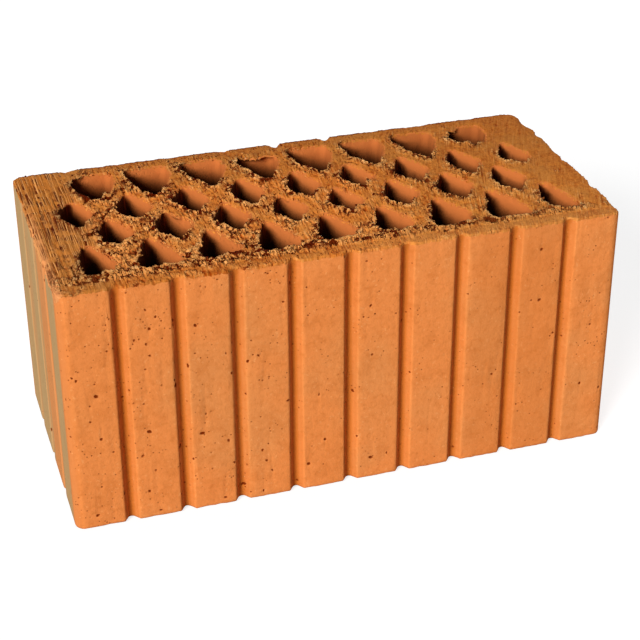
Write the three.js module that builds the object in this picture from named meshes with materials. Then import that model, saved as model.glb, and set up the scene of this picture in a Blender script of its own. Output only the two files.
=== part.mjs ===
// Vertically perforated clay block in the 240 x 115 x 113 mm (2DF) masonry format.
// It is one extruded and fired body: the clay leaves the die along +Z, so the holes and the
// keying grooves run straight from bed face to bed face, and wires cut those two faces.
//
// Units are millimetres, +Z is up. The long side lies along X and the narrow ends face -X and +X.
// The origin is the centre of the bottom bed face.

import * as THREE from "three";

// ---- overall size ----
const LENGTH = 240;
const WIDTH = 115;
const HEIGHT = 113;
const CORNER_RADIUS = 4.5;

// ---- keying grooves for mortar and plaster, on the four upright faces ----
const GROOVE_MOUTH = 7;
const GROOVE_DEPTH = 3.2;
const GROOVE_ROOT_RADIUS = 1.3;
const GROOVE_LIP_RADIUS = 0.9;
const SIDE_GROOVE_PITCH = 24;
const SIDE_GROOVE_MARGIN = 20;
const END_GROOVE_PITCH = 28.75;
const END_GROOVE_MARGIN = 24;

// ---- perforation: two rows of diamonds between two rows of shields ----
const HOLE_PITCH = 25;
const SIDE_WALL = 9.5;
const END_WALL = 14;
const LEAST_HALF_HOLE = 5.5;

const DIAMOND_ROW_SPACING = 22;
const DIAMOND_LENGTH = 27;
const DIAMOND_WIDTH = 14;
const DIAMOND_TIP_RADIUS = 1.8;
const DIAMOND_WAIST_RADIUS = 5;

const SHIELD_LENGTH = 27.5;
const SHIELD_WEB = 6.5;
const SHIELD_HEEL_RADIUS = 3;
const SHIELD_SHOULDER_RADIUS = 6;
const SHIELD_SHOULDER_SETBACK = 7.5;
const SHIELD_TIP_RADIUS = 2.2;

// ---- surface ----
const CLAY_COLOUR = 0xd9823f;
const CLAY_ROUGHNESS = 0.92;

// ---- fineness of the curves ----
const ARC_STEP = THREE.MathUtils.degToRad(16);

/** Points of an arc about `centre`, from angle `from` to angle `to`, with both ends. */
function arcPoints(centre, radius, from, to) {
  const steps = Math.max(1, Math.ceil(Math.abs(to - from) / ARC_STEP));
  return Array.from({ length: steps + 1 }, (_, i) => {
    const angle = from + ((to - from) * i) / steps;
    return new THREE.Vector2(
      centre.x + radius * Math.cos(angle),
      centre.y + radius * Math.sin(angle),
    );
  });
}

/**
 * The line of a belt drawn tight round circles given anticlockwise as {x, y, r}:
 * an arc on each circle, joined by the straight tangents between neighbours.
 */
function beltRound(circles) {
  const normals = circles.map((circle, i) => {
    const next = circles[(i + 1) % circles.length];
    const heading = Math.atan2(next.y - circle.y, next.x - circle.x);
    const apart = Math.hypot(next.x - circle.x, next.y - circle.y);
    return heading - Math.acos((circle.r - next.r) / apart);
  });
  return circles.flatMap((circle, i) => {
    const from = normals[(i + circles.length - 1) % circles.length];
    const turn = THREE.MathUtils.euclideanModulo(normals[i] - from, 2 * Math.PI);
    return arcPoints(circle, circle.r, from, from + turn);
  });
}

/** Copies at `pitch`, centred on zero, on a whole or half step, within `reach` each way. */
function centredPositions(pitch, reach, halfStep = false) {
  const offset = halfStep ? pitch / 2 : 0;
  const steps = Math.floor((reach - offset) / pitch);
  const right = Array.from({ length: steps + 1 }, (_, i) => offset + i * pitch);
  const left = right.filter((x) => x > 0).map((x) => -x);
  return [...left.reverse(), ...right];
}

/**
 * One keying groove as points along a face that runs towards +X with the clay above it (+Y):
 * a lip, a flank, the round root, and the same again on the other side.
 */
function groovePoints(centreX) {
  const halfMouth = GROOVE_MOUTH / 2;
  const lip = { x: halfMouth, y: GROOVE_LIP_RADIUS };
  const root = { x: 0, y: GROOVE_DEPTH - GROOVE_ROOT_RADIUS };
  const apart = Math.hypot(lip.x - root.x, lip.y - root.y);
  const fall = Math.atan2(root.y - lip.y, lip.x - root.x);
  const flank = Math.asin((GROOVE_LIP_RADIUS + GROOVE_ROOT_RADIUS) / apart) + fall;
  const leftLip = arcPoints(
    { x: centreX - lip.x, y: lip.y }, GROOVE_LIP_RADIUS, -Math.PI / 2, flank - Math.PI / 2,
  );
  const rootArc = arcPoints(
    { x: centreX, y: root.y }, GROOVE_ROOT_RADIUS, Math.PI / 2 + flank, Math.PI / 2 - flank,
  );
  const rightLip = arcPoints(
    { x: centreX + lip.x, y: lip.y }, GROOVE_LIP_RADIUS, -Math.PI / 2 - flank, -Math.PI / 2,
  );
  return [...leftLip, ...rootArc, ...rightLip];
}

/** A grooved face `span` long, then the round corner after it, as if it were the lower face. */
function facePoints(span, depthToCentre, pitch, margin) {
  const grooves = centredPositions(pitch, span / 2 - margin);
  const face = grooves.flatMap((x) => groovePoints(x));
  const corner = arcPoints(
    { x: span / 2 - CORNER_RADIUS, y: CORNER_RADIUS }, CORNER_RADIUS, -Math.PI / 2, 0,
  );
  return [...face, ...corner].map((p) => new THREE.Vector2(p.x, p.y - depthToCentre));
}

/** The section's outer line, anticlockwise: front, right end, back and left end. */
function outerOutline() {
  const side = facePoints(LENGTH, WIDTH / 2, SIDE_GROOVE_PITCH, SIDE_GROOVE_MARGIN);
  const end = facePoints(WIDTH, LENGTH / 2, END_GROOVE_PITCH, END_GROOVE_MARGIN);
  const centre = new THREE.Vector2();
  return [side, end, side, end].flatMap((face, quarterTurns) =>
    face.map((p) => p.clone().rotateAround(centre, (quarterTurns * Math.PI) / 2)),
  );
}

/** Keeps a hole's circle behind the end walls. */
function behindEndWalls(circle) {
  const limit = LENGTH / 2 - END_WALL - circle.r;
  return { ...circle, x: THREE.MathUtils.clamp(circle.x, -limit, limit) };
}

/** A diamond hole with its long way across the brick. */
function diamondHole(x, y) {
  const toTip = DIAMOND_LENGTH / 2 - DIAMOND_TIP_RADIUS;
  const toWaist = DIAMOND_WIDTH / 2 - DIAMOND_WAIST_RADIUS;
  const circles = [
    { x, y: y - toTip, r: DIAMOND_TIP_RADIUS },
    { x: x + toWaist, y, r: DIAMOND_WAIST_RADIUS },
    { x, y: y + toTip, r: DIAMOND_TIP_RADIUS },
    { x: x - toWaist, y, r: DIAMOND_WAIST_RADIUS },
  ];
  return beltRound(circles.map(behindEndWalls));
}

/** A shield hole along the front wall, with its flat heel to that wall and its tip inwards. */
function frontShieldHole(x) {
  const heelY = -WIDTH / 2 + SIDE_WALL;
  const halfWidth = (HOLE_PITCH - SHIELD_WEB) / 2;
  const heel = { x: halfWidth - SHIELD_HEEL_RADIUS, y: heelY + SHIELD_HEEL_RADIUS };
  const shoulder = { x: halfWidth - SHIELD_SHOULDER_RADIUS, y: heelY + SHIELD_SHOULDER_SETBACK };
  const circles = [
    { x: x - heel.x, y: heel.y, r: SHIELD_HEEL_RADIUS },
    { x: x + heel.x, y: heel.y, r: SHIELD_HEEL_RADIUS },
    { x: x + shoulder.x, y: shoulder.y, r: SHIELD_SHOULDER_RADIUS },
    { x, y: heelY + SHIELD_LENGTH - SHIELD_TIP_RADIUS, r: SHIELD_TIP_RADIUS },
    { x: x - shoulder.x, y: shoulder.y, r: SHIELD_SHOULDER_RADIUS },
  ];
  return beltRound(circles.map(behindEndWalls));
}

/** The same hole along the back wall, turned half way round. */
function backShieldHole(x) {
  return frontShieldHole(-x).map((p) => p.clone().negate());
}

/** Every hole of the section. Each row stands half a pitch off its neighbours. */
function holeOutlines() {
  const reach = LENGTH / 2 - END_WALL - LEAST_HALF_HOLE;
  const onStep = centredPositions(HOLE_PITCH, reach);
  const offStep = centredPositions(HOLE_PITCH, reach, true);
  const diamondRow = DIAMOND_ROW_SPACING / 2;
  return [
    ...onStep.map((x) => frontShieldHole(x)),
    ...offStep.map((x) => diamondHole(x, -diamondRow)),
    ...onStep.map((x) => diamondHole(x, diamondRow)),
    ...offStep.map((x) => backShieldHole(x)),
  ];
}

function fireClayBody() {
  const section = new THREE.Shape(outerOutline());
  section.holes = holeOutlines().map((outline) => new THREE.Path(outline));
  const geometry = new THREE.ExtrudeGeometry(section, { depth: HEIGHT, bevelEnabled: false });
  const clay = new THREE.MeshStandardMaterial({
    color: CLAY_COLOUR,
    roughness: CLAY_ROUGHNESS,
    metalness: 0,
  });
  const body = new THREE.Mesh(geometry, clay);
  body.name = "clay_body";
  return body;
}

const brick = new THREE.Group();
brick.name = "perforated_clay_brick";
brick.add(fireClayBody());

export default brick;
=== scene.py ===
"""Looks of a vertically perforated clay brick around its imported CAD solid.

One closed mesh stands for the fired body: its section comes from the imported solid, and clay
relief is laid over it. Loose grains that the cutting wire left form a second piece.
Lengths in the shape code are millimetres, and become metres only where a mesh is made. In the
materials and the floor they are metres.
"""

import math

import bmesh
import bpy
import numpy as np
from mathutils import Matrix, Vector
from mathutils.geometry import delaunay_2d_cdt


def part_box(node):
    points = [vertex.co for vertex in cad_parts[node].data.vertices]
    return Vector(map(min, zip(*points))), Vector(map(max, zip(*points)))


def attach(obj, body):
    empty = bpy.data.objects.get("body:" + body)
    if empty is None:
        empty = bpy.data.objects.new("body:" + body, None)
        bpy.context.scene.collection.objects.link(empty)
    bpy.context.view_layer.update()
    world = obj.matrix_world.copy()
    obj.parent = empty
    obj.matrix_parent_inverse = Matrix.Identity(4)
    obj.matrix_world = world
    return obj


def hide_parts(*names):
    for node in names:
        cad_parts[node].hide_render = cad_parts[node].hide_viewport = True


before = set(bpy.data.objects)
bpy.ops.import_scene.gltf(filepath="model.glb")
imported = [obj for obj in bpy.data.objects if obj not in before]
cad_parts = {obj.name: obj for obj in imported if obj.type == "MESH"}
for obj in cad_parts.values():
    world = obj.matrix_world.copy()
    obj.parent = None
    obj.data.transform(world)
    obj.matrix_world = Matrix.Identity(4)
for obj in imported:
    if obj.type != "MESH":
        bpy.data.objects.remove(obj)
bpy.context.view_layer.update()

MM = 0.001
HAIR = 0.01    # mm: lengths below this don't count
SEED = 20

# ---- Camera, fitted to the picture's frame: degrees, mm and pixels ----

VIEW_AZIMUTH = -17.326
VIEW_ELEVATION = 29.68
VIEW_ROLL = -0.279
VIEW_DISTANCE = 735.469
VIEW_AIM = (-4.209, 5.944)
FOCAL_PIXELS = 1645.159
FRAME_PIXELS = 640
SENSOR_WIDTH = 36.0

# ---- Light ----

# name, azimuth and elevation (degrees), level, and spread (degrees)
LAMPS = (
    ("key", -44.0, 26.0, 1.32, 20.0),
    ("back", 165.0, 22.0, 0.42, 30.0),
    ("right", 100.0, 10.0, 0.36, 20.0),
)
SKY_LEVEL = 0.08

# ---- Mesh fineness, mm ----

SKIN_STEP = 0.52
SKIN_ROW = 0.62
HOLE_STEP = 0.48
TOP_STEP = 0.44
BOTTOM_STEP = 1.3
MOST_TRIANGLES = 196000


# ---- Noise ----

TABLE = 256
SEED_SHIFT = 13.7         # lattice cells between the places that two following seeds read
NOISE_GAIN = 1.5          # brings the blended slopes to about -1..1
_table = np.random.default_rng(SEED)
_ORDER = _table.permutation(TABLE)
_SLOPES = _table.normal(size=(TABLE, 3))
_SLOPES /= np.linalg.norm(_SLOPES, axis=1, keepdims=True)
_CHANCE = _table.random((TABLE, 4))


def hashed(ix, iy, iz):
    """A table row for each lattice cell."""
    row = _ORDER[ix % TABLE]
    row = _ORDER[(row + iy) % TABLE]
    return _ORDER[(row + iz) % TABLE]


def noise(points, size, seed):
    """Smooth noise in about -1..1, with features of `size` mm (a number or one for each axis)."""
    q = points / np.asarray(size, float) + seed * SEED_SHIFT
    cell = np.floor(q).astype(np.int64)
    f = q - cell
    ease = f * f * f * (f * (f * 6 - 15) + 10)
    total = np.zeros(len(q))
    for corner in np.ndindex(2, 2, 2):
        slope = _SLOPES[hashed(*(cell + corner).T)]
        weight = np.where(corner, ease, 1 - ease).prod(axis=1)
        total += weight * ((f - corner) * slope).sum(axis=1)
    return total * NOISE_GAIN


def grains(x, y, cell, seed, fill):
    """Heights in 0..1 of round grains strewn over a plane on cells of `cell` mm."""
    ix, iy = np.floor(x / cell).astype(np.int64), np.floor(y / cell).astype(np.int64)
    height = np.zeros(len(x))
    for dx, dy in np.ndindex(3, 3):
        cx, cy = ix + dx - 1, iy + dy - 1
        chance = _CHANCE[hashed(cx, cy, seed)]
        gx, gy = (cx + chance[:, 0]) * cell, (cy + chance[:, 1]) * cell
        radius = cell * (0.35 + 0.3 * chance[:, 2])
        dome = 1 - ((x - gx) ** 2 + (y - gy) ** 2) / radius**2
        size = np.where(chance[:, 3] < fill, 0.4 + 0.6 * chance[:, 2], 0)
        height = np.maximum(height, size * np.sqrt(np.clip(dome, 0, 1)))
    return height


def ramp(value, start, end):
    """0 before start, 1 after end, and smooth between."""
    t = np.clip((value - start) / (end - start), 0, 1)
    return t * t * (3 - 2 * t)


def planar(x, y):
    return np.column_stack((x, y, np.zeros(len(x))))


def at_height(line, z):
    return np.column_stack((line, np.full(len(line), z)))


# ---- The section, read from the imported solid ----

def mesh_places(mesh):
    co = np.zeros(len(mesh.vertices) * 3)
    mesh.vertices.foreach_get("co", co)
    return co.reshape(-1, 3)


def bed_outlines(node):
    """Closed outlines of the top bed in mm: material is on the left of each line."""
    co = mesh_places(node.data) / MM
    corners = np.array([tuple(p.vertices) for p in node.data.polygons])
    top = np.all(co[corners][:, :, 2] > co[:, 2].max() - HAIR, axis=1)
    places, index = np.unique(np.round(co[:, :2], 2), axis=0, return_inverse=True)
    index = index.reshape(-1)
    edges = {(int(index[t[k]]), int(index[t[k - 2]])) for t in corners[top] for k in range(3)}
    follow = {a: b for a, b in edges if (b, a) not in edges}
    outlines = []
    while follow:
        start, point = next(iter(sorted(follow.items())))
        del follow[start]
        line = [start]
        while point != start:
            line.append(point)
            point = follow.pop(point)
        outlines.append(places[line])
    return sorted(outlines, key=lambda line: -np.ptp(line[:, 0]))


def resampled(line, step):
    """The closed line again, at even steps."""
    closed = np.vstack((line, line[:1]))
    along = np.concatenate(([0], np.cumsum(np.linalg.norm(np.diff(closed, axis=0), axis=1))))
    count = int(round(along[-1] / step))
    places = np.linspace(0, along[-1], count, endpoint=False)
    return np.column_stack([np.interp(places, along, closed[:, k]) for k in (0, 1)])


def air_side(line, reach=2):
    """Unit normals of a closed line, to the side without clay."""
    run = np.roll(line, -reach, axis=0) - np.roll(line, reach, axis=0)
    normal = np.column_stack((run[:, 1], -run[:, 0]))
    return normal / np.linalg.norm(normal, axis=1, keepdims=True)


def inside(points, line):
    """Whether each point lies within the closed line."""
    result = np.zeros(len(points), bool)
    x, y = points.T
    for (x0, y0), (x1, y1) in zip(line, np.roll(line, -1, axis=0)):
        if y0 != y1:
            crosses = (y0 > y) != (y1 > y)
            result ^= crosses & (x < x0 + (y - y0) * (x1 - x0) / (y1 - y0))
    return result


def levels(top_step, bottom_step, growth, most):
    """Heights of a wall's rings from the bottom bed up, finest at both beds."""
    def run(step, reach):
        places = [0.0]
        while places[-1] + step < reach:
            places.append(places[-1] + step)
            step = min(step * growth, most)
        return np.array(places)
    low = run(bottom_step, HEIGHT / 2)
    high = HEIGHT - run(top_step, HEIGHT / 2)
    return np.concatenate((low, high[::-1]))


outlines = bed_outlines(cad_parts["clay_body"])
LOW, HIGH = (np.array(corner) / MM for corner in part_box("clay_body"))
LENGTH, WIDTH, HEIGHT = HIGH - LOW
HALF_LENGTH, HALF_WIDTH = LENGTH / 2, WIDTH / 2

# ---- Relief ----

BED_ALLOWANCE = 1.1       # the torn top's relief stands on a level this far under its plane
DRAG_FAN = math.radians(25)
RELIEF_REACH = 8.0        # how far from each bed the walls give way to its relief
PORES = 900

# x, y, radius and depth (mm) of places where the top bed's outer edge is worn
WORN_EDGES = (
    (120, 57.5, 4, 0.5), (120, 44, 5, 0.9), (120, -48, 4, 0.8), (-120, 57.5, 3, 0.3),
    (120, 10, 5, 0.6), (66, 57.5, 4, 0.3),
)


def drag_lines(x, y):
    """Distance across the lines that the cutting wire dragged; they fan out towards +X."""
    lean = DRAG_FAN * ramp(x, -70, 150)
    return x - np.tan(lean) * y


def crumbly(x, y):
    """How crumbly the top bed is, 0..1: most at the left and in front, least at the back right."""
    base = 0.14 - 0.0028 * x - 0.003 * y + 0.35 * (ramp(-y, 43, 46) - 1.8 * ramp(-y, 48.5, 52))
    base -= 0.45 * (1 - ramp(x, -105, -92)) * ramp(y, -50, -30)
    base += 0.16 * ramp(x, 20, 60) * ramp(-y, 15, 35)
    return np.clip(base + 0.6 * noise(planar(x, y), 6.5, 3), 0.0, 1)


def worn_edge(x, y):
    """Depth lost at the outer edge, mm."""
    p = planar(x, y)
    chips = (0.7 + 0.6 * ramp(-y, 50, 56)) * np.clip(noise(p, 2.2, 12) - 0.42, 0, 1)
    wear = 0.08 + 0.16 * np.clip(noise(p, 6, 11), 0, 1) + chips
    for sx, sy, radius, depth in WORN_EDGES:
        wear = wear + depth * np.exp(-((x - sx) ** 2 + (y - sy) ** 2) / radius**2)
    return wear


def lumps(points, size, seed):
    """Rounded lumps with sharp cracks between them, 0..1."""
    return np.clip(np.abs(noise(points, size, seed)) * 1.9, 0, 1)


def scores(points, size, seed):
    """A flat face with narrow scores where smooth noise passes its middle, 0..1."""
    return np.clip(np.abs(noise(points, size, seed)) * 4.5, 0, 1)


def tear_reach(x, y):
    """How far down the walls the torn face comes, mm: furthest on the left end, in front."""
    p = planar(x, y)
    left = (1 - ramp(x, -119, -117)) * (1 - ramp(y, -10, 35))
    return 0.9 + 0.5 * noise(p, 3, 13) + left * (3.0 + 2.0 * noise(p, 3.5, 14))


def torn_grain(x, y, rough, left_band):
    """The top bed's fine relief, mm: combed in the left band, dragged and crumbled elsewhere."""
    p = planar(x, y)
    drag = planar(drag_lines(x, y), y)
    combed = (0.22 + 0.78 * left_band) * (1 - 0.7 * ramp(-y, 45, 50))
    fine = combed * (0.42 * scores(drag, (2.1, 80, 1), 21) + 0.3 * scores(drag, (1.15, 30, 1), 22))
    fine += (1 - left_band) * (0.16 + 0.2 * ramp(rough, 0, 0.4)) * noise(drag, (1.6, 9, 1), 20)
    loose = (0.05 + 1.2 * rough) * (1 - 0.5 * left_band)
    fine += loose * (0.64 * lumps(drag, (2.0, 2.9, 1), 25) + 0.40 * lumps(drag, (1.05, 1.5, 1), 26))
    fine += 0.6 * rough * (1 - 0.4 * left_band) * grains(x, y, 2.2, 1, 0.15 + 0.45 * rough)
    slits = ramp(noise(drag, (1.2, 3.8, 1), 27), 0.3, 0.5) * ramp(noise(p, 9, 28), -0.3, 0.2)
    nicks = ramp(noise(drag, (1.0, 2.8, 1), 18), 0.34, 0.5) * ramp(noise(p, 7, 19), -0.4, 0.1)
    deep = 0.44 - 0.26 * ramp(x, 10, 70) - 0.26 * left_band + 0.7 * rough
    fine -= np.maximum(slits, nicks) * deep
    crack_x = -HALF_LENGTH + 7.6 + 1.0 * noise(planar(np.zeros(len(y)), y), 13, 29)
    crack = np.exp(-(((x - crack_x) / 0.6) ** 2)) * ramp(noise(planar(y, y), 9, 30), -0.3, 0.2)
    fine -= 0.7 * crack * (1 - ramp(y, 40, 52))
    return fine


def top_relief(x, y, from_rim, soft_rim, from_edge):
    """The torn top bed: height in mm, never above its plane; its painted light and shade; how crumbly
    it is.
    """
    p = planar(x, y)
    rough = np.clip(crumbly(x, y) + 0.9 * (1 - soft_rim) * np.exp(-from_rim / 1.9), 0, 1)
    fine = torn_grain(x, y, rough, 1 - ramp(x, -103, -90))
    height = fine + 0.2 * noise(p, 10, 23) + 0.22 * noise(p, 4, 24)
    height -= 1.1 * ramp(y, 40, 50) * np.exp(-from_edge / 1.6)
    calm = np.maximum(ramp(y, 52, 56), 1 - ramp(x, -118, -115))
    height *= 1 - (0.3 + 0.55 * calm) * (1 - ramp(from_edge, 0.3, 2.6))
    height -= soft_rim * 0.8 * np.exp(-from_rim / 1.1)
    lip = (1 - soft_rim) * np.exp(-((from_rim / 0.9) ** 2)) * (0.3 + 0.5 * rough)
    lip *= np.clip(0.7 + 0.9 * noise(p, 1.6, 17), 0, 1.4)
    height += lip
    wear = worn_edge(x, y)
    height -= wear * np.exp(-from_edge / (0.5 + 0.6 * wear))
    # the second value paints shade in the fine relief's hollows and highlights on its crests and on
    # the rims' lips
    return np.minimum(height - BED_ALLOWANCE, -0.02), fine + 1.3 * lip, rough


def bottom_relief(x, y, from_edge):
    """The bottom bed's height over the floor, mm: cut by a wire too, then pressed by its load."""
    p = planar(x, y)
    drag = planar(drag_lines(x, -y), y)
    height = 0.35 + 0.2 * noise(drag, (2.4, 30, 1), 31) + 0.15 * noise(p, 3, 32)
    height += 0.4 * np.exp(-from_edge / 0.7)
    return np.maximum(height, 0.0)


def skin_relief(points):
    """How far the extruded skin lies under its nominal face, mm."""
    swell = 0.11 + 0.1 * noise(points, (26, 26, 50), 41)
    streaks = 0.01 * noise(points, (1.9, 1.9, 70), 42)
    return np.clip(swell + streaks, 0.0, None)


# ---- Holes: rims closed by dragged clay on one side, rounded over on the other ----

DRAG_SIDE = math.radians(215)
KEY_AZIMUTH, KEY_ELEVATION = (math.radians(angle) for angle in LAMPS[0][1:3])
KEY_SIDE = np.array((math.sin(KEY_AZIMUTH), -math.cos(KEY_AZIMUTH)))
CAST_SHARE = 0.74         # how much of the wall's colour a cast shadow takes away
MOST_WORN = -3.6          # least reach of a rim into its hole, mm
MOST_CLOSED = 0.55        # its greatest reach, as a share of the hole's radius

# rows of holes: y of their middle, how far their dragged rims were worn back, and for a hole's
# number in its row the direction (degrees), half width (degrees) and reach (mm) of each lobe of
# dragged clay; a negative reach is a rim that broke away
ROWS = {
    "front_shield": (-35, -0.3, {
        1: ((132, 32, -2.4), (180, 50, -1.4), (262, 30, 2.2), (300, 35, 4.2)),
        2: ((262, 50, 2.0), (300, 30, 1.6)), 3: ((262, 50, 2.8), (300, 30, 3.0)),
        4: ((262, 40, 1.2), (300, 30, 2.4)), 5: ((240, 30, 2.6), (300, 40, 4.4)),
        6: ((240, 30, 3.4), (275, 40, 2.0), (305, 30, 3.4)), 7: ((300, 40, 2.8),),
        8: ((270, 40, 0.5),), 9: ((238, 30, 3.6), (270, 30, 1.2)),
    }),
    "front_diamond": (-11, 0.6, {
        1: ((190, 25, 1.6), (240, 25, -1.2), (270, 30, 2.2)),
        2: ((150, 35, -1.2), (228, 30, -1.6), (72, 24, 2.6)), 3: ((180, 35, -0.8),),
        4: ((85, 16, 2.2),), 5: ((270, 40, 4.4),), 6: ((228, 30, -1.4), (285, 25, 1.6)),
        7: ((225, 40, -1.6), (160, 30, -0.8)), 8: ((228, 35, -0.8),),
    }),
    "back_diamond": (11, 0.8, {
        1: ((140, 35, -1.6), (98, 20, 2.4), (225, 30, -0.6)),
        2: ((230, 35, -1.3), (270, 22, 1.6)), 3: ((172, 30, -1.3),), 4: ((235, 40, -0.5),),
        5: ((232, 30, -1.2), (270, 20, 1.0)), 6: ((290, 45, 3.4),), 7: ((215, 35, -1.2),),
        9: ((258, 24, 3.0), (285, 25, 1.6)),
    }),
    "back_shield": (35, 1.5, {
        1: ((124, 26, 3.2), (282, 24, 2.4)), 2: ((228, 40, -0.8),),
        3: ((122, 20, 1.2), (250, 26, 1.4)), 4: ((92, 50, 5.6), (205, 30, 1.8)),
        5: ((202, 30, -1.0), (228, 26, 0.8)), 6: ((202, 35, -1.4), (228, 22, 0.8)),
        7: ((225, 35, -0.8),), 8: ((124, 34, 4.6), (262, 50, 6.0)),
    }),
}


def hole_names(lines):
    """(row, number) of each hole line, numbered from the left."""
    centres = [(line.min(axis=0) + line.max(axis=0)) / 2 for line in lines]
    rows = [min(ROWS, key=lambda row: abs(ROWS[row][0] - c[1])) for c in centres]
    return [(row, 1 + sum(1 for c, r in zip(centres, rows) if r == row and c[0] < centre[0]))
            for centre, row in zip(centres, rows)]


def drag_share(angle):
    """1 on the side that the dragged clay closes, 0 opposite."""
    return 0.5 + 0.5 * np.cos(angle - DRAG_SIDE)


def rim_reach(row, number, line, angle, radius):
    """How far the top rim stands into its hole, mm; below zero it is worn back."""
    _, worn, lobes = ROWS[row]
    p = planar(*line.T)
    side = drag_share(angle)
    ragged = ramp(side, 0.3, 0.8)
    reach = -0.9 + 0.7 * ragged + 0.35 * noise(p, 5, 51) + (0.1 + 0.8 * ragged) * noise(p, 2.2, 52)
    reach += (0.05 + 0.7 * ragged) * noise(p, 1.2, 53)
    reach -= side**2 * worn
    for towards, half_width, far in lobes.get(number, ()):
        off = np.angle(np.exp(1j * (angle - math.radians(towards))))
        lobe = np.clip(1 - (off / math.radians(half_width)) ** 2, 0, 1)
        reach += far * lobe ** 0.7 * (1 + 0.2 * noise(p, 1.7, 54))
    return np.clip(reach, MOST_WORN, MOST_CLOSED * radius)


def far_side(line, way):
    """From each point of a closed line, the distance along `way` to where it is crossed again."""
    run = np.roll(line, -1, axis=0) - line
    gap = line[None, :, :] - line[:, None, :]
    cross = way[0] * run[:, 1] - way[1] * run[:, 0]
    cross = np.where(np.abs(cross) < 1e-9, 1e-9, cross)
    along = (gap[:, :, 0] * run[None, :, 1] - gap[:, :, 1] * run[None, :, 0]) / cross
    share = (gap[:, :, 0] * way[1] - gap[:, :, 1] * way[0]) / cross
    met = (share >= 0) & (share < 1) & (along > 0.5)
    return np.where(met, along, np.inf).min(axis=1).clip(0, 30)


class Hole:
    """One hole's walls, as radii about its middle so that no rim can cross itself."""

    def __init__(self, row, number, line):
        self.line = resampled(line, HOLE_STEP)
        self.centre = (line.min(axis=0) + line.max(axis=0)) / 2
        away = self.line - self.centre
        self.angle = np.arctan2(away[:, 1], away[:, 0])
        self.radius = np.hypot(away[:, 0], away[:, 1])
        right = ramp(self.centre[0], 40, 110)
        self.facing = ramp(air_side(self.line, 3) @ KEY_SIDE,
                           -0.2 + 0.2 * right, 0.45 + 0.25 * right)
        self.lit_depth = far_side(self.line, KEY_SIDE) * math.tan(KEY_ELEVATION)
        self.top_reach = rim_reach(row, number, self.line, self.angle, self.radius)
        p = planar(*self.line.T)
        self.bottom_reach = np.clip(0.3 * noise(p, 4, 55) + 0.25 * noise(p, 1.8, 56), -0.5, 0.8)

    def shade(self, z):
        """1 where the wall at height z gets no light straight from the key lamp, else 0."""
        right = ramp(self.centre[0], 0, 100)
        lit_depth = self.lit_depth * (1 - 0.15 * right)
        cast = ramp(HEIGHT - z, lit_depth - 2.0 + 0.6 * right, lit_depth + 2.5 - 1.4 * right)
        # painted shade, deeper on the walls of the holes towards the back right
        dim = 0.3 * right * ramp(self.centre[1], -5, 35)
        return 1 - self.facing * (1 - (CAST_SHARE + 0.24 * right) * cast) * (1 - dim)

    def ring(self, z):
        """The wall's points at height z."""
        thin = 1.0 + np.where(self.top_reach > 0, 0.25, -1.0) * self.top_reach
        reach = self.top_reach * np.exp(-(((HEIGHT - z) / thin) ** 1.4))
        reach = reach + self.bottom_reach * np.exp(-((z / 0.9) ** 1.4))
        p = at_height(self.line, z)
        visible = ramp(z, HEIGHT - 30, HEIGHT - 15)
        reach = reach + 0.16 * noise(p, (7, 7, 35), 57)
        reach += 0.04 * visible * noise(p, (1.6, 1.6, 30), 58)
        scale = (self.radius - reach) / self.radius
        return self.centre + (self.line - self.centre) * scale[:, None]


# ---- The body's mesh ----

# what each point tells the material: torn, its painted light and shade from the relief, in a pore
# (painted shade), in a hole, in the key lamp's painted shadow, how deep in a groove (for painted
# shade), how crumbly, and where across the dragged lines
MARKS = ("torn", "relief_light", "pore", "in_hole", "key_shadow", "sink", "crumble", "across")
AT_ONCE = 4000    # points whose distances are worked out together, to spare memory
FAR = 50.0    # mm: stands for the distance of points that no rim is near
NEAR_RIM, NEAR_EDGE = 4, 9    # mm: how close a rim or the outer edge matters to the relief


def first_marks(points):
    marks = {mark: np.zeros(len(points)) for mark in MARKS}
    marks["across"] = drag_lines(points[:, 0], points[:, 1])
    return marks


def nearest(points, line):
    """Distance from each point to the nearest point of a line, and which one it is."""
    gap, index = np.full(len(points), np.inf), np.zeros(len(points), int)
    for start in range(0, len(points), AT_ONCE):
        part = slice(start, start + AT_ONCE)
        away = points[part, None, :] - line[None, :, :]
        square = (away**2).sum(axis=2)
        index[part] = square.argmin(axis=1)
        gap[part] = np.sqrt(square.min(axis=1))
    return gap, index


def from_sides(places):
    """How far in from the nearest side of the block each place lies, mm."""
    return (np.array((HALF_LENGTH, HALF_WIDTH)) - np.abs(places)).min(axis=1)


def near_line(points, line, margin):
    """Numbers of the points within `margin` of a line's own box."""
    low, high = line.min(axis=0) - margin, line.max(axis=0) + margin
    return np.flatnonzero(np.all((points > low) & (points < high), axis=1))


def scattered_field(step, holes, outer_line, clear):
    """Points strewn evenly over the bed's clay, at least `clear` from every outline."""
    rng = np.random.default_rng(SEED + 1)
    rows = np.arange(-HALF_WIDTH, HALF_WIDTH, step * math.sqrt(0.75))
    columns = np.arange(-HALF_LENGTH, HALF_LENGTH, step)
    x = (columns[None, :] + (np.arange(len(rows)) % 2)[:, None] * step / 2).ravel()
    y = np.repeat(rows, len(columns))
    points = np.column_stack((x, y)) + rng.uniform(-0.22, 0.22, (len(x), 2)) * step
    keep = np.ones(len(points), bool)
    for line in holes:
        near = near_line(points, line, 1)
        gap = nearest(points[near], line)[0]
        keep[near[(gap < clear) | inside(points[near], line)]] = False
    near = np.flatnonzero(from_sides(points) < 6)
    gap = nearest(points[near], outer_line)[0]
    keep[near[(gap < clear) | ~inside(points[near], outer_line)]] = False
    return points[keep]


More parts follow.
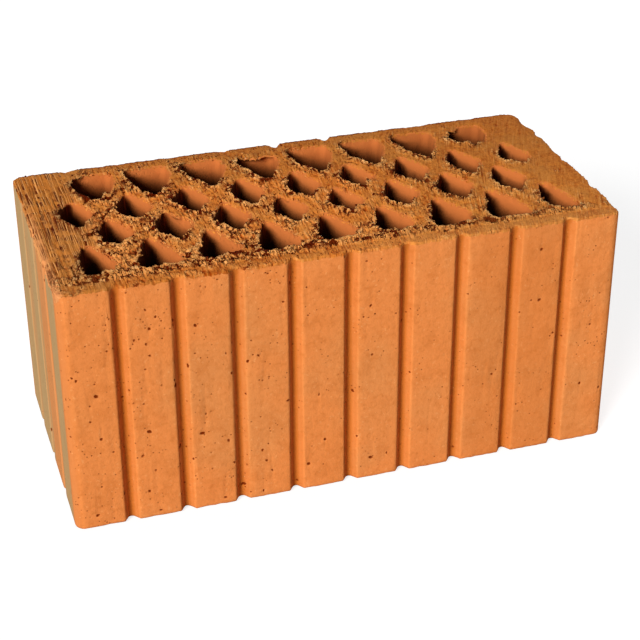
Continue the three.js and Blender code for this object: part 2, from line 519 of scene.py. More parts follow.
def triangulated(rings, field):
    """Triangles over the clay between the closed rings and through the field's points."""
    points = np.vstack(rings + [field])
    owner = np.full(len(points), -1)
    edges, start = [], 0
    for number, ring in enumerate(rings):
        ids = np.arange(start, start + len(ring))
        edges += np.column_stack((ids, np.roll(ids, -1))).tolist()
        owner[ids] = number
        start += len(ring)
    found = delaunay_2d_cdt([Vector(p) for p in points.tolist()], edges, [], 1, 1e-7, False)
    if len(found[0]) != len(points):
        raise RuntimeError(f"bed outlines cross: {len(found[0]) - len(points)} points added")
    triangles = np.array(found[2])
    owners = owner[triangles]
    middle = points[triangles].mean(axis=1)
    keep = np.ones(len(triangles), bool)
    for number, ring in enumerate(rings):
        own = np.flatnonzero(np.all(owners == number, axis=1))
        within = inside(middle[own], ring)
        keep[own[within if number else ~within]] = False
    return triangles[keep]


def faces_between(count, first, rings):
    """Quads of a wall whose rings of `count` points follow each other from vertex `first`."""
    i = np.arange(count)
    j = (i + 1) % count
    base = first + np.arange(rings - 1)[:, None] * count
    return np.stack((base + i, base + j, base + j + count, base + i + count), axis=-1).reshape(-1, 4)


def bed_distances(points, rims, outer):
    """For each point: distance to the nearest hole rim, that rim's softness, distance to the edge."""
    from_rim, softness = np.full(len(points), FAR), np.zeros(len(points))
    for rim, soft in rims:
        near = near_line(points, rim, NEAR_RIM)
        gap, index = nearest(points[near], rim)
        closer = gap < from_rim[near]
        from_rim[near[closer]] = gap[closer]
        softness[near[closer]] = soft[index[closer]]
    from_edge = from_sides(points)
    near = np.flatnonzero(from_edge < NEAR_EDGE)
    from_edge[near] = nearest(points[near], outer)[0]
    return from_rim, softness, from_edge


def skin_pores(line, heights):
    """Depth of the small pores at each point of the skin's grid, mm."""
    rng = np.random.default_rng(SEED + 2)
    step = np.linalg.norm(np.roll(line, -1, axis=0) - line, axis=1)
    along = np.concatenate(([0], np.cumsum(step)[:-1]))
    total = step.sum()
    depth = np.zeros((len(heights), len(line)))
    places = np.column_stack((rng.uniform(0, total, PORES), rng.uniform(1.5, HEIGHT - 1.5, PORES)))
    sites = line[np.searchsorted(along, places[:, 0]) - 1]
    crowd = noise(np.column_stack((sites, places[:, 1])), 22, 44) + 0.7 * ramp(-sites[:, 0], -40, 90)
    for (s, z), keep in zip(places, rng.random(PORES) < ramp(crowd, -0.3, 0.8)):
        radius, deep = 0.36 + 0.5 * rng.random() ** 3, rng.uniform(0.25, 0.55)
        stretch, turn = rng.uniform(1, 1.7), rng.uniform(0, math.pi)
        if not keep:
            continue
        radius *= 1 + 0.3 * ramp(-np.interp(s, along, line[:, 0]), 20, 90) * ramp(z, 95, 55)
        away = (along - s + total / 2) % total - total / 2
        columns = np.flatnonzero(np.abs(away) < 2 * radius)
        rows = np.flatnonzero(np.abs(heights - z) < 2 * radius)
        ds, dz = away[columns][None, :], (heights[rows] - z)[:, None]
        long = (ds * math.cos(turn) + dz * math.sin(turn)) / stretch
        short = dz * math.cos(turn) - ds * math.sin(turn)
        bowl = deep * np.clip(1 - (long**2 + short**2) / radius**2, 0, 1)
        place = np.ix_(rows, columns)
        depth[place] = np.maximum(depth[place], bowl)
    return depth


class Wall:
    """A grid of points: rings of one outline, from the bottom bed up to the top bed."""

    def __init__(self, rings, heights, **marks):
        self.rows, self.count = len(heights), len(rings[0])
        self.points = np.concatenate([at_height(ring, z) for ring, z in zip(rings, heights)])
        self.rings, self.marks = rings, marks

    def place(self, first):
        """Numbers the wall's points from `first`."""
        self.first, self.end = first, first + len(self.points)

    def ring(self, top):
        return self.rings[-1 if top else 0]

    def ring_ids(self, top):
        return self.first + (self.rows - 1 if top else 0) * self.count + np.arange(self.count)


# x from, x to, and the share of the back grooves' depth that dragged clay fills at the top edge
BACK_GROOVE_FILL = (
    (-120, -108, 0.9), (-108, -84, 0.5), (-84, -36, 0.92), (-36, -12, 0.6), (-12, 36, 0.1),
    (36, 120, 0.95),
)
FRONT_GROOVE_FILL, END_GROOVE_FILL = 0.3, 0.72


def smeared(line, z):
    """The skin's line with its grooves partly closed, near the top bed, by clay the wire dragged."""
    x, y = line.T
    near_top = ramp(z, HEIGHT - 6, HEIGHT - 0.5)
    on_end = np.abs(x) > HALF_LENGTH - 5
    gap_x = np.clip(HALF_LENGTH - 0.5 - np.abs(x), 0, None) * on_end * (np.abs(y) < HALF_WIDTH - 6)
    gap_y = np.clip(HALF_WIDTH - 0.4 - np.abs(y), 0, None) * (np.abs(x) < HALF_LENGTH - 7)
    share_y = np.full(len(x), FRONT_GROOVE_FILL)
    for start, end, share in BACK_GROOVE_FILL:
        share_y[(y > 0) & (x >= start) & (x < end)] = share
    shift = np.column_stack((np.sign(x) * gap_x * END_GROOVE_FILL, np.sign(y) * gap_y * share_y))
    return line + near_top * shift


def skin_wall(line):
    outward = air_side(line)
    heights = levels(top_step=0.4, bottom_step=0.6, growth=1.15, most=SKIN_ROW)
    pores = skin_pores(line, heights)
    wear, tear = worn_edge(*line.T), tear_reach(*line.T)
    rings = []
    for z, pore in zip(heights, pores):
        place = at_height(line, z)
        torn = ramp(z, HEIGHT - tear - 0.6, HEIGHT - tear + 0.4)
        depth = skin_relief(place) + pore + torn * 0.45 * (1 - lumps(place, 1.6, 15))
        depth += wear * np.exp(-(HEIGHT - z) / (0.5 + 0.5 * wear)) + 0.3 * np.exp(-z / 0.5)
        rings.append(smeared(line, z) - outward * depth[:, None])
    groove = from_sides(line)
    return Wall(rings, heights, pore=np.clip(pores / 0.4, 0, 1).ravel(),
                sink=np.tile(groove / groove.max(), len(heights)))


def hole_wall(hole):
    heights = levels(top_step=0.35, bottom_step=0.6, growth=1.25, most=6.0)
    return Wall([hole.ring(z) for z in heights], heights, in_hole=1.0,
                key_shadow=np.concatenate([hole.shade(z) for z in heights]))


def bed_triangles(walls, rings, field, first, top):
    """Triangles of one bed, facing out of the clay."""
    flat = np.vstack(rings + [field])
    found = triangulated(rings, field)
    a, b, c = (flat[found[:, k]] for k in range(3))
    turn = (b[:, 0] - a[:, 0]) * (c[:, 1] - a[:, 1]) - (b[:, 1] - a[:, 1]) * (c[:, 0] - a[:, 0])
    wrong = (turn < 0) == top
    found[wrong] = found[wrong][:, ::-1]
    ids = np.concatenate([wall.ring_ids(top) for wall in walls] + [first + np.arange(len(field))])
    return ids[found]


def tear_top(points, marks, walls, holes):
    """Tears the top bed and what the walls show of it."""
    near = np.flatnonzero(points[:, 2] > HEIGHT - RELIEF_REACH)
    on_wall = near < walls[-1].end
    x, y, z = points[near].T
    rims = [(wall.ring(True), 1 - ramp(drag_share(hole.angle), 0.2, 0.7))
            for wall, hole in zip(walls[1:], holes)]
    from_rim, softness, from_edge = bed_distances(points[near, :2], rims, walls[0].ring(True))
    relief = top_relief(x, y, from_rim, softness, from_edge)
    drop, marks["relief_light"][near], marks["crumble"][near] = relief
    in_hole = marks["in_hole"][near]
    tear = np.where(in_hole > 0, 1.1 - softness, tear_reach(x, y))
    rounded = softness * (1 - ramp(from_rim, 0.2, 1.2))
    marks["torn"][near] = np.where(on_wall, 1 - ramp(HEIGHT - z, tear - 0.7, tear + 0.7),
                                   1 - rounded)
    marks["in_hole"][near] = np.where(on_wall, in_hole, rounded)
    points[near, 2] += drop * ramp(z, HEIGHT - RELIEF_REACH, HEIGHT)


def press_bottom(points, marks, walls):
    """Lifts the bottom bed off the floor where the wire and the load left it hollow."""
    near = np.flatnonzero(points[:, 2] < RELIEF_REACH)
    bed = near >= walls[-1].end
    x, y, z = points[near].T
    rise = bottom_relief(x, y, bed_distances(points[near, :2], [], walls[0].ring(False))[2])
    marks["torn"][near[bed]] = 1
    # the bottom bed's colour: darker where it stands higher off the floor
    marks["relief_light"][near[bed]] = 0.75 - 0.5 * rise[bed]
    points[near, 2] += rise * (1 - ramp(z, 0, RELIEF_REACH))


def brick_surface():
    """The whole body: points, quads, triangles, marks for its material, hole walls and holes."""
    holes = [Hole(*name, line) for name, line in zip(hole_names(outlines[1:]), outlines[1:])]
    walls = [skin_wall(resampled(outlines[0], SKIN_STEP))] + [hole_wall(hole) for hole in holes]
    first = 0
    for wall in walls:
        wall.place(first)
        first = wall.end
    quads = np.vstack([faces_between(wall.count, wall.first, wall.rows) for wall in walls])
    triangles, fields = [], []
    for top, step in ((True, TOP_STEP), (False, BOTTOM_STEP)):
        rings = [wall.ring(top) for wall in walls]
        field = scattered_field(step, rings[1:], rings[0], 0.55 * step)
        triangles.append(bed_triangles(walls, rings, field, first, top))
        fields.append(at_height(field, HEIGHT if top else 0.0))
        first += len(field)
    points = np.vstack([wall.points for wall in walls] + fields)
    marks = first_marks(points)
    marks["relief_light"] += 0.5
    for wall in walls:
        for mark, values in wall.marks.items():
            marks[mark][wall.first:wall.end] = values
    tear_top(points, marks, walls, holes)
    press_bottom(points, marks, walls)
    return points, quads, np.vstack(triangles), marks, walls[1:], holes


# ---- Grains that cling to the top bed ----

GRAINS_PER_HOLE = 30
GRAINS_ON_BED = 1500
RIM_RADII, BED_RADII = (0.25, 0.55), (0.22, 0.42)    # of grains, mm
RIM_HIGHLIGHT, BED_HIGHLIGHT = 0.65, 0.1    # how much painted highlight they take
LARGE_GRAIN = 0.5    # mm: larger grains are finer balls


def ball(subdivisions):
    """Points and triangles of a unit ball."""
    shape = bmesh.new()
    bmesh.ops.create_icosphere(shape, subdivisions=subdivisions, radius=1.0)
    points = np.array([v.co for v in shape.verts])
    triangles = np.array([[v.index for v in f.verts] for f in shape.faces])
    shape.free()
    return points, triangles


def random_turns(rng, count):
    """Random rotation matrices."""
    q = rng.normal(size=(count, 4))
    w, x, y, z = (q / np.linalg.norm(q, axis=1, keepdims=True)).T
    return np.stack((
        1 - 2 * (y * y + z * z), 2 * (x * y - z * w), 2 * (x * z + y * w),
        2 * (x * y + z * w), 1 - 2 * (x * x + z * z), 2 * (y * z - x * w),
        2 * (x * z - y * w), 2 * (y * z + x * w), 1 - 2 * (x * x + y * y),
    ), axis=1).reshape(-1, 3, 3)


def grain_places(points, walls, holes):
    """Where grains cling, thickest along the dragged sides of the rims; radii and painted highlights.
    """
    rng = np.random.default_rng(SEED + 3)
    places, radii = [], []
    for wall, hole in zip(walls, holes):
        rim = points[wall.ring_ids(True)]
        share = drag_share(hole.angle) ** 2 * (0.25 + crumbly(rim[:, 0], rim[:, 1]))
        count = int(GRAINS_PER_HOLE * (0.5 + share.mean()))
        chosen = rng.choice(len(rim), count, p=share / share.sum())
        inwards = hole.centre - rim[chosen, :2]
        inwards /= np.linalg.norm(inwards, axis=1, keepdims=True)
        place = rim[chosen].copy()
        place[:, :2] += inwards * rng.uniform(-1.3, 0.5, count)[:, None]
        places.append(place)
        radii.append(rng.uniform(*RIM_RADII, count))
    bed = points[walls[-1].end:]
    bed = bed[bed[:, 2] > HEIGHT / 2]
    share = crumbly(bed[:, 0], bed[:, 1]) ** 2
    chosen = rng.choice(len(bed), GRAINS_ON_BED, replace=False, p=share / share.sum())
    places.append(bed[chosen])
    radii.append(rng.uniform(*BED_RADII, GRAINS_ON_BED) + 0.4 * rng.random(GRAINS_ON_BED) ** 8)
    radii = np.concatenate(radii)
    on_rim = np.arange(len(radii)) < len(radii) - GRAINS_ON_BED
    return np.vstack(places), radii, np.where(on_rim, RIM_HIGHLIGHT, BED_HIGHLIGHT)


def grain_mesh(points, walls, holes):
    """Knobbly closed grains, half sunk in the clay: points, triangles and marks."""
    places, radii, highlight = grain_places(points, walls, holes)
    rng = np.random.default_rng(SEED + 4)
    vertices, triangles, tones, first = [], [], [], 0
    for fine, group in ((2, radii > LARGE_GRAIN), (1, radii <= LARGE_GRAIN)):
        ball_points, ball_faces = ball(fine)
        count = int(group.sum())
        knobs = 1 + rng.uniform(-0.28, 0.28, (count, len(ball_points), 1))
        squash = rng.uniform(0.55, 1.15, (count, 1, 3))
        shape = ball_points[None] * knobs * squash * radii[group][:, None, None]
        shape = np.einsum("nij,nkj->nki", random_turns(rng, count), shape)
        centre = places[group].copy()
        centre[:, 2] += 0.1 * radii[group]
        over = shape[:, :, 2].max(axis=1) + centre[:, 2] - (HEIGHT - 0.02)
        centre[:, 2] -= np.clip(over, 0, None)
        vertices.append((shape + centre[:, None, :]).reshape(-1, 3))
        tones.append(np.repeat(highlight[group], len(ball_points)))
        offsets = first + np.arange(count)[:, None, None] * len(ball_points)
        triangles.append((ball_faces[None] + offsets).reshape(-1, 3))
        first += count * len(ball_points)
    points = np.vstack(vertices)
    marks = first_marks(points)
    marks["torn"] += 1
    marks["crumble"] += 1
    # painted highlights on the grains, most on the rim grains
    marks["relief_light"] = 0.6 + np.concatenate(tones) + 0.25 * noise(points, 2.0, 61)
    return points, np.vstack(triangles), marks


# ---- Blender meshes ----

def placed(name, data):
    """A new object, in the scene."""
    thing = bpy.data.objects.new(name, data)
    bpy.context.scene.collection.objects.link(thing)
    return thing


def mesh_object(name, points, quads, triangles, marks):
    """A Blender object from points in mm, with point marks kept as attributes."""
    mesh = bpy.data.meshes.new(name)
    mesh.vertices.add(len(points))
    mesh.vertices.foreach_set("co", (points * MM).astype(np.float32).ravel())
    corners = np.concatenate((quads.ravel(), triangles.ravel())).astype(np.int32)
    sizes = np.concatenate((np.full(len(quads), 4), np.full(len(triangles), 3)))
    starts = np.concatenate(([0], np.cumsum(sizes)[:-1])).astype(np.int32)
    mesh.loops.add(len(corners))
    mesh.loops.foreach_set("vertex_index", corners)
    mesh.polygons.add(len(sizes))
    mesh.polygons.foreach_set("loop_start", starts)
    mesh.update(calc_edges=True)
    for label, values in marks.items():
        layer = mesh.attributes.new(label, "FLOAT", "POINT")
        layer.data.foreach_set("value", values.astype(np.float32))
    mesh.shade_smooth()
    return placed(name, mesh)


def thin(thing, most):
    """Merges the flattest triangles of the object's mesh, down to `most`."""
    count = sum(len(p.vertices) - 2 for p in thing.data.polygons)
    thing.modifiers.new("thin", "DECIMATE").ratio = most / count
    graph = bpy.context.evaluated_depsgraph_get()
    mesh = bpy.data.meshes.new_from_object(thing.evaluated_get(graph))
    thing.modifiers.clear()
    old, thing.data = thing.data, mesh
    bpy.data.meshes.remove(old)
    mesh.name = thing.name


def keep_within_solid(thing):
    """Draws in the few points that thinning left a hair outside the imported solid's box."""
    inset = HAIR * MM
    co = np.clip(mesh_places(thing.data), LOW * MM + inset, HIGH * MM - inset)
    thing.data.vertices.foreach_set("co", co.astype(np.float32).ravel())
    thing.data.update()


# ---- Node trees ----

class Value:
    """One output of a node. Sums, differences and products of Values become Math nodes."""

    def __init__(self, shading, socket):
        self.math, self.socket = shading.math, socket

    def __add__(self, other):
        return self.math("ADD", self, other)

    def __sub__(self, other):
        return self.math("SUBTRACT", self, other)

    def __mul__(self, other):
        return self.math("MULTIPLY", self, other)

    def __abs__(self):
        return self.math("ABSOLUTE", self)


class Node:
    """A node whose outputs are read as Values."""

    def __init__(self, shading, made):
        self.shading, self.made = shading, made

    def __getitem__(self, output):
        return Value(self.shading, self.made.outputs[output])


class Shading:
    """The node tree of a material or world, written as short calls."""

    def __init__(self, owner):
        owner.use_nodes = True
        self.tree = owner.node_tree
        self.tree.nodes.clear()

    def node(self, kind, inputs=(), **settings):
        made = self.tree.nodes.new("ShaderNode" + kind)
        for key, value in settings.items():
            setattr(made, key, value)
        for key, value in dict(inputs).items():
            if isinstance(value, Value):
                self.tree.links.new(value.socket, made.inputs[key])
            else:
                made.inputs[key].default_value = value
        return Node(self, made)

    def noise(self, place, scale, detail=3.0, roughness=0.55):
        return self.node("TexNoise", {"Vector": place, "Scale": scale, "Detail": detail,
                                      "Roughness": roughness})["Fac"]

    def cells(self, place, scale, output, feature="F1"):
        return self.node("TexVoronoi", {"Vector": place, "Scale": scale}, feature=feature)[output]

    def stretched(self, place, scale):
        return self.node("Mapping", {"Vector": place, "Scale": scale})["Vector"]

    def math(self, operation, a, b=0.0):
        return self.node("Math", {0: a, 1: b}, operation=operation)[0]

    def vector(self, operation, inputs):
        return self.node("VectorMath", inputs, operation=operation)[0]

    def between(self, value, low, high, to_low=0.0, to_high=1.0):
        """to_low at low, to_high at high, and smooth between."""
        return self.node("MapRange", {"Value": value, "From Min": low, "From Max": high,
                                      "To Min": to_low, "To Max": to_high},
                         interpolation_type="SMOOTHSTEP")["Result"]

    def valley(self, place, scale, width):
        """1 along thin winding lines, where smooth noise passes its middle, and 0 beside them."""
        return self.between(abs(self.noise(place, scale, 1) - 0.5), 0, width, 1, 0)

    def warped(self, place, scale, reach):
        """Places pushed about at random by up to half of `reach`."""
        colour = self.node("TexNoise", {"Vector": place, "Scale": scale})["Color"]
        push = self.vector("SUBTRACT", {0: colour, 1: (0.5, 0.5, 0.5)})
        push = self.vector("SCALE", {0: push, "Scale": reach})
        return self.vector("ADD", {0: place, 1: push})

    def mix(self, share, first, second, blend="MIX"):
        return self.node("Mix", {0: share, 6: first, 7: second}, data_type="RGBA",
                         blend_type=blend, clamp_factor=True)[2]

    def layered(self, colour, *layers):
        """The colour with each layer's own colour laid over it, by the layer's share."""
        for share, over in layers:
            colour = self.mix(share, colour, over)
        return colour


# ---- Fired clay ----

def rgb(red, green, blue):
    return (red, green, blue, 1.0)


FIRED = rgb(0.745, 0.235, 0.059)
FIRED_YELLOW = rgb(0.69, 0.240, 0.066)
FIRED_DEEP = rgb(0.52, 0.14, 0.024)
FIRED_PINK = rgb(0.62, 0.21, 0.062)
# painted shade at the roots of the skin's grooves
GROOVE_SHADE = rgb(0.42, 0.105, 0.008)
# painted sheen: the whitish grazing reflection on the left end's flats
END_SHEEN = rgb(0.42, 0.285, 0.13)
# pale beads in the skin; on the torn face, also painted highlight on the brightest crumbs
BEAD_AND_HIGHLIGHT = rgb(0.95, 0.50, 0.20)
# painted shade in the skin's pores
PORE_SHADE = rgb(0.18, 0.024, 0.002)
# the holes' walls where the key lamp reaches them, darker than the skin as painted shade
HOLE_LIT = rgb(0.55, 0.152, 0.036)
# painted shade that deepens down the holes
HOLE_DEPTH_SHADE = rgb(0.028, 0.007, 0.002)
# the key lamp's painted shadow in the holes
HOLE_SHADOW = rgb(0.04, 0.008, 0.002)
# on the torn face, the red and dark colours are mostly painted shade, the pale ones partly painted
# highlight
TORN = rgb(0.73, 0.228, 0.034)
TORN_TAN = rgb(0.67, 0.238, 0.042)
TORN_PALE = rgb(1.0, 0.46, 0.14)
TORN_RED = rgb(0.34, 0.045, 0.0008)
TORN_DARK = rgb(0.12, 0.010, 0.0002)
TORN_DULL = rgb(0.87, 0.94, 1.0)    # multiplies the torn face's colour
FRINGE = rgb(0.96, 0.36, 0.13)
ROUGHNESS = 0.9
GLOSS = 0.02
BUMP_HEIGHT = 0.0012

DULL_STRIPS = 0.075             # x of the middle of the duller front strips
BARE_BAND = -0.019              # y of the middle of the left end's band with little painted sheen
LEFT_END = (-0.1165, -0.119)    # x where the left end begins, and where it is full
LEFT_BAND = (-0.104, -0.088)    # x where the top bed's combed band ends
# z over which the painted shade in the holes deepens
HOLE_DARKENS = (HEIGHT * MM - 0.001, HEIGHT * MM - 0.017)
BEFORE_HOLES = (-0.050, -0.044)  # y over which the crumbly strip before the holes ends
FRONT_LINE = (-0.048, -0.053)   # y over which the top bed's front line begins
CRUMB_SCALE = 420


def skin_look(s, place, at, mark):
    """Colour of the extruded skin and of the holes' walls, and where the skin has tiny pores."""
    (x, y, z), sink, in_hole = at, mark["sink"], mark["in_hole"]
    skin = s.layered(
        FIRED,
        (s.between(s.noise(place, 28, 2), 0.42, 0.68), FIRED_YELLOW),
        (s.between(s.noise(place, 150, 3), 0.45, 0.72, 0, 0.3), FIRED_DEEP),
        (s.between(s.noise(place, 420, 4, 0.65), 0.46, 0.74, 0, 0.42), FIRED_DEEP),
        (s.between(s.noise(place, 640, 3, 0.65), 0.58, 0.72, 0, 0.2), BEAD_AND_HIGHLIGHT),
        (s.between(abs(x - DULL_STRIPS), 0.026, 0.014, 0, 0.28), FIRED_DEEP),
        # painted shade, deepening into the grooves
        (s.between(sink, 0.02, 0.3, 0, 0.38), FIRED_DEEP),
        (s.between(sink, 0.55, 1.0, 0, 0.7), GROOVE_SHADE),
    )
    on_end = s.between(x, *LEFT_END) * s.math("SUBTRACT", 1.0, in_hole)
    # painted sheen on the left end's flats, less in a band across it and in its grooves
    sheen = s.between(abs(y - BARE_BAND), 0.009, 0.015, 0.3, 1) * on_end
    sheen = sheen * s.between(abs(y), 0.0535, 0.050)
    streaks = s.noise(s.stretched(place, (1, 1, 0.04)), 160, 3)
    end = s.layered(END_SHEEN, (s.between(streaks, 0.48, 0.75, 0, 0.35), FIRED_PINK),
                    (s.between(sink, 0.05, 0.3, 0, 0.5), FIRED_DEEP))
    rare = s.noise(place, 70, 2) + s.between(x, 0.03, -0.10, 0, 0.06)
    # tiny pores, dented in the bump and darkened with painted shade
    tiny_pore = s.between(s.cells(place, 430, "Distance"), 0.08, 0.19, 1, 0) * s.between(rare, 0.50, 0.62)
    bead = s.between(s.cells(place, 310, "Distance"), 0.07, 0.13, 1, 0) * s.between(rare, 0.52, 0.64)
    skin = s.layered(
        skin,
        (on_end * 0.6, FIRED_PINK),
        (sheen * 0.9, end),
        # painted shade in the tiny pores and the pores
        (tiny_pore * 0.7, PORE_SHADE),
        (bead * 0.3, BEAD_AND_HIGHLIGHT),
        (s.between(mark["pore"], 0.1, 0.6), PORE_SHADE),
        (in_hole, HOLE_LIT),
        # painted shade, deepening down the holes
        (s.between(z, *HOLE_DARKENS) * in_hole, HOLE_DEPTH_SHADE),
        # the key lamp's painted shadow on the holes' walls
        (mark["key_shadow"] * 0.97 * in_hole, HOLE_SHADOW),
    )
    return skin, tiny_pore


def torn_look(s, place, at, mark, tone):
    """Colour of the torn face, how far its lines, strokes and crumbs stand out; how loose it is."""
    (x, y, _), crumble = at, mark["crumble"]
    left = s.between(x, *LEFT_BAND, 1, 0)
    front = s.between(y, *FRONT_LINE)
    loose = s.between(crumble, 0.05, 0.8) * s.between(left, 0, 1, 1, 0.75)

    dragged = s.node("CombineXYZ", {0: mark["across"], 1: y * (1 / MM)})[0]
    lines = s.stretched(dragged, (0.85, 0.014, 1))
    beside = s.vector("ADD", {0: lines, 1: (-0.32, 0, 0)})
    broken = s.between(s.noise(place, 200, 2), 0.36, 0.52, 0.25, 1)
    broken = broken * s.between(y, *BEFORE_HOLES, 0.25, 1)
    # the combed scores: dented in the bump, with painted shade in them and a painted highlight beside
    comb = s.math("MAXIMUM", s.valley(lines, 1, 0.075), s.valley(lines, 1.9, 0.075) * 0.75)
    comb = comb * broken * s.between(left, 0, 1, 0.16, 0.97)
    comb_highlight = s.valley(beside, 1, 0.08) * broken * left
    stroke = s.noise(s.stretched(dragged, (1.15, 0.075, 1)), 1, 2, 0.6)
    struck = s.between(crumble, 0.0, 0.25, 0.3, 1) * s.between(left, 0, 1, 1, 0.3)
    struck = s.math("MAXIMUM", struck, front * 0.8)
    # painted shade in the strokes' hollows, with painted highlight on their crests below
    stroke_shade = s.between(stroke, 0.46, 0.33, 0, 0.8) * struck
    stroke_shade = stroke_shade * s.between(y, *BEFORE_HOLES, 0.7, 1)
    # nicks: dented in the bump and darkened with painted shade
    nick = s.between(s.noise(s.stretched(dragged, (1.5, 0.32, 1)), 1, 2, 0.6), 0.57, 0.68)
    nick = nick * s.between(left, 0, 1, 1, 0.4) * s.between(x, 0.0, 0.09, 0.75, 0.32)

    shade = mark["relief_light"] + s.between(tone, 0.25, 0.75, -0.22, 0.22)
    fringe = s.between(x, -0.1155, -0.1185) * s.between(y, 0.030, 0.0)
    # painted shade in the relief's hollows, nicks, scores and the strokes' hollows, among the clay's
    # own tones
    rough = s.layered(
        TORN_RED,
        (s.between(shade, -0.45, 0.4), TORN),
        (s.between(s.noise(place, 55, 2), 0.4, 0.62, 0, 0.6), TORN_TAN),
        (loose * s.between(x, 0.0, 0.06, 0.42, 0.28), TORN_PALE),
        (left * 0.06, TORN_DARK),
        (stroke_shade, TORN_RED),
        (s.between(stroke, 0.55, 0.68, 0, 0.5) * struck, TORN_PALE),
        (nick, TORN_RED),
        (s.between(nick, 0.35, 0.75), TORN_DARK),
        (front * s.between(x, 0.01, -0.04, 0, 0.14), TORN_DARK),
        (front * s.between(x, -0.02, 0.03, 0, 0.12), TORN_PALE),
        (s.between(y + x * 0.3, -0.01, 0.06, 0, 0.2), TORN_DARK),
        # painted highlights on the relief's crests and lips, and beside the combed scores
        (s.between(shade, 0.8, 1.5), TORN_PALE),
        (s.between(shade, 1.45, 2.1, 0, 0.55), BEAD_AND_HIGHLIGHT),
        (fringe * 0.65, FRINGE),
        (comb_highlight * 0.8, TORN_PALE),
        (comb * 0.6, TORN_RED),
        (s.between(comb, 0.45, 0.95), TORN_DARK),
    )

    rubble = s.warped(s.stretched(place, (1, 0.75, 1)), 500, 0.0026)
    chance = s.node("SeparateColor", {0: s.cells(rubble, CRUMB_SCALE, "Color")})[0]
    from_gap = s.cells(rubble, CRUMB_SCALE, "Distance", "DISTANCE_TO_EDGE")
    gap = s.between(from_gap, 0.05, 0.24, 1, 0) * s.between(s.noise(place, 260, 2), 0.47, 0.56)
    # painted shade in the pits between crumbs, dented in the bump too
    pit_shade = s.math("MAXIMUM", gap, s.between(chance, 0.14, 0.06)) * loose
    pit_shade = pit_shade * s.between(x, 0.0, 0.1, 1, 0.6) * s.between(fringe, 0, 1, 1, 0.5)
    # painted highlights on crumbs, raised in the bump too
    crumb_highlight = s.between(chance, 0.68, 0.90) * loose * s.between(from_gap, 0.05, 0.25)
    rough = s.layered(
        rough,
        (crumb_highlight * 0.9, TORN_PALE),
        (s.between(chance, 0.93, 0.98, 0, 0.5) * crumb_highlight, BEAD_AND_HIGHLIGHT),
        (pit_shade, TORN_RED),
        (s.between(pit_shade, 0.3, 0.9, 0, 0.92), TORN_DARK),
        (s.between(y, 0.0553, 0.0568, 0, 0.8), TORN_DARK),
    )
    duller = s.math("MAXIMUM", s.between(x, 0.01, 0.06), s.between(y, 0.015, 0.035))
    rough = s.mix(s.math("MAXIMUM", duller, left), rough, TORN_DULL, "MULTIPLY")
    stand = crumb_highlight * 0.8 - pit_shade * 0.8 + stroke * struck * 1.5 - (comb + nick) * 0.6
    return rough, stand, loose


def clay_material(name):
    """Fired clay: a smooth extruded skin, and the torn face that the cutting wire left."""
    material = bpy.data.materials.new(name)
    s = Shading(material)
    place = s.node("TexCoord")["Object"]
    split = s.node("SeparateXYZ", {0: place})
    at = [split[axis] for axis in "XYZ"]
    mark = {label: s.node("Attribute", attribute_name=label)["Fac"] for label in MARKS}
    torn = mark["torn"]
    tone = s.noise(place, 700, 3, 0.6)
    skin, tiny_pore = skin_look(s, place, at, mark)
    rough, stand, loose = torn_look(s, place, at, mark, tone)
    jagged = torn + s.between(tone, 0.3, 0.7, -0.3, 0.3)
    relief = s.noise(place, 900, 4, 0.65) * 0.4 + s.noise(place, 430, 3) * 0.6
    relief = relief - tiny_pore * 0.8 + stand * torn
    strength = s.between(torn, 0, 1, 0.8, 1.0) * s.between(loose, 0, 1, 0.45, 1)
    bump = s.node("Bump", {"Height": relief, "Strength": strength, "Distance": BUMP_HEIGHT})
    shader = s.node("BsdfPrincipled", {
        "Base Color": s.mix(s.between(jagged, 0.42, 0.58), skin, rough), "Roughness": ROUGHNESS,
        "Specular IOR Level": GLOSS, "Normal": bump["Normal"],
    })
    s.node("OutputMaterial", {"Surface": shader["BSDF"]})
    return material


# ---- Stage ----

FLOOR_HALF, FLOOR_HEIGHT = 3.0, -0.0002
FLOOR_BOUNCE = rgb(0.45, 0.45, 0.45)    # how the brick sees the floor
FLOOR_SHOWN = rgb(0.34, 0.34, 0.34)     # how the camera sees its light and shadow
FLOOR_GLOW = 0.78                       # added to them for the camera, up to white
WHITE = rgb(1, 1, 1)


def seen(s):
    """1 where the camera looks straight or through a reflection."""
    path = s.node("LightPath")
    first = s.math("MAXIMUM", path["Is Camera Ray"], path["Is Glossy Ray"])
    return s.math("MAXIMUM", first, path["Is Transmission Ray"])


def floor_material():
    material = bpy.data.materials.new("pale_floor")
    s = Shading(material)
    lit = s.node("BsdfDiffuse", {"Color": FLOOR_BOUNCE})
    shown = s.node("BsdfDiffuse", {"Color": FLOOR_SHOWN})
    glow = s.node("Emission", {"Color": WHITE, "Strength": FLOOR_GLOW})
    both = s.node("AddShader", {0: shown[0], 1: glow[0]})
    s.node("OutputMaterial",
           {"Surface": s.node("MixShader", {0: seen(s), 1: lit[0], 2: both[0]})[0]})
    return material


def direction(azimuth, elevation):
    """Unit vector from the object towards a compass place: 0 is in front, at -Y."""
    a, e = math.radians(azimuth), math.radians(elevation)
    return Vector((math.sin(a) * math.cos(e), -math.cos(a) * math.cos(e), math.sin(e)))


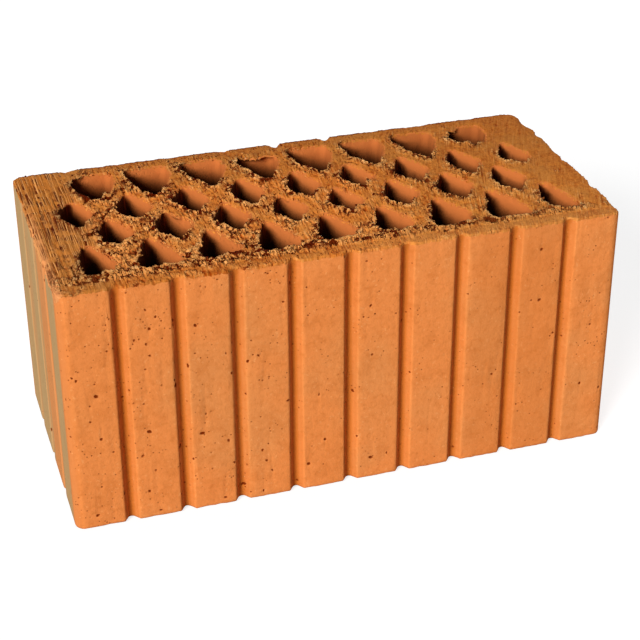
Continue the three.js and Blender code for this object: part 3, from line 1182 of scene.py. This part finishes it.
def add_camera():
    back = direction(VIEW_AZIMUTH, VIEW_ELEVATION)
    right = direction(VIEW_AZIMUTH + 90, 0)
    up = back.cross(right)
    roll = math.radians(VIEW_ROLL)
    right, up = (right * math.cos(roll) + up * math.sin(roll),
                 up * math.cos(roll) - right * math.sin(roll))
    centre = Vector((0, 0, HEIGHT / 2))
    place = centre - VIEW_AIM[0] * right - VIEW_AIM[1] * up + VIEW_DISTANCE * back
    data = bpy.data.cameras.new("camera")
    data.sensor_width = SENSOR_WIDTH
    data.lens = FOCAL_PIXELS * SENSOR_WIDTH / FRAME_PIXELS
    data.clip_start = 0.01
    camera = placed("camera", data)
    axes = Matrix((right, up, back)).transposed().to_4x4()
    camera.matrix_world = Matrix.Translation(place * MM) @ axes
    bpy.context.scene.camera = camera


def add_sun(name, azimuth, elevation, level, spread):
    """A soft distant lamp; level 1 shows a white face square to it as white."""
    data = bpy.data.lights.new(name, "SUN")
    data.energy = level * math.pi
    data.angle = math.radians(spread)
    turn = direction(azimuth, elevation).to_track_quat("Z", "Y")
    placed(name, data).rotation_euler = turn.to_euler()


def add_world():
    world = bpy.data.worlds.new("studio")
    bpy.context.scene.world = world
    s = Shading(world)
    sky = s.node("Background", {"Color": WHITE, "Strength": SKY_LEVEL})
    white = s.node("Background", {"Color": WHITE, "Strength": 1.0})
    s.node("OutputWorld", {"Surface": s.node("MixShader", {0: seen(s), 1: sky[0], 2: white[0]})[0]})


def add_floor():
    half, z = FLOOR_HALF, FLOOR_HEIGHT
    mesh = bpy.data.meshes.new("floor")
    mesh.from_pydata([(-half, -half, z), (half, -half, z), (half, half, z), (-half, half, z)], [],
                     [(0, 1, 2, 3)])
    mesh.materials.append(floor_material())
    floor = placed("floor", mesh)


add_camera()
for lamp in LAMPS:
    add_sun(*lamp)
add_world()
add_floor()

points, quads, triangles, marks, hole_walls, holes = brick_surface()
clay = clay_material("fired_clay")
brick = mesh_object("fired_brick", points, quads, triangles, marks)
thin(brick, MOST_TRIANGLES)
grain_points, grain_triangles, grain_marks = grain_mesh(points, hole_walls, holes)
clinging = mesh_object("clinging_grains", grain_points, grain_triangles[:0], grain_triangles,
                       grain_marks)
for piece in (brick, clinging):
    keep_within_solid(piece)
    piece.data.materials.clear()
    piece.data.materials.append(clay)
    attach(piece, "root")
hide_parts("clay_body")

bpy.context.scene.view_settings.view_transform = "Standard"
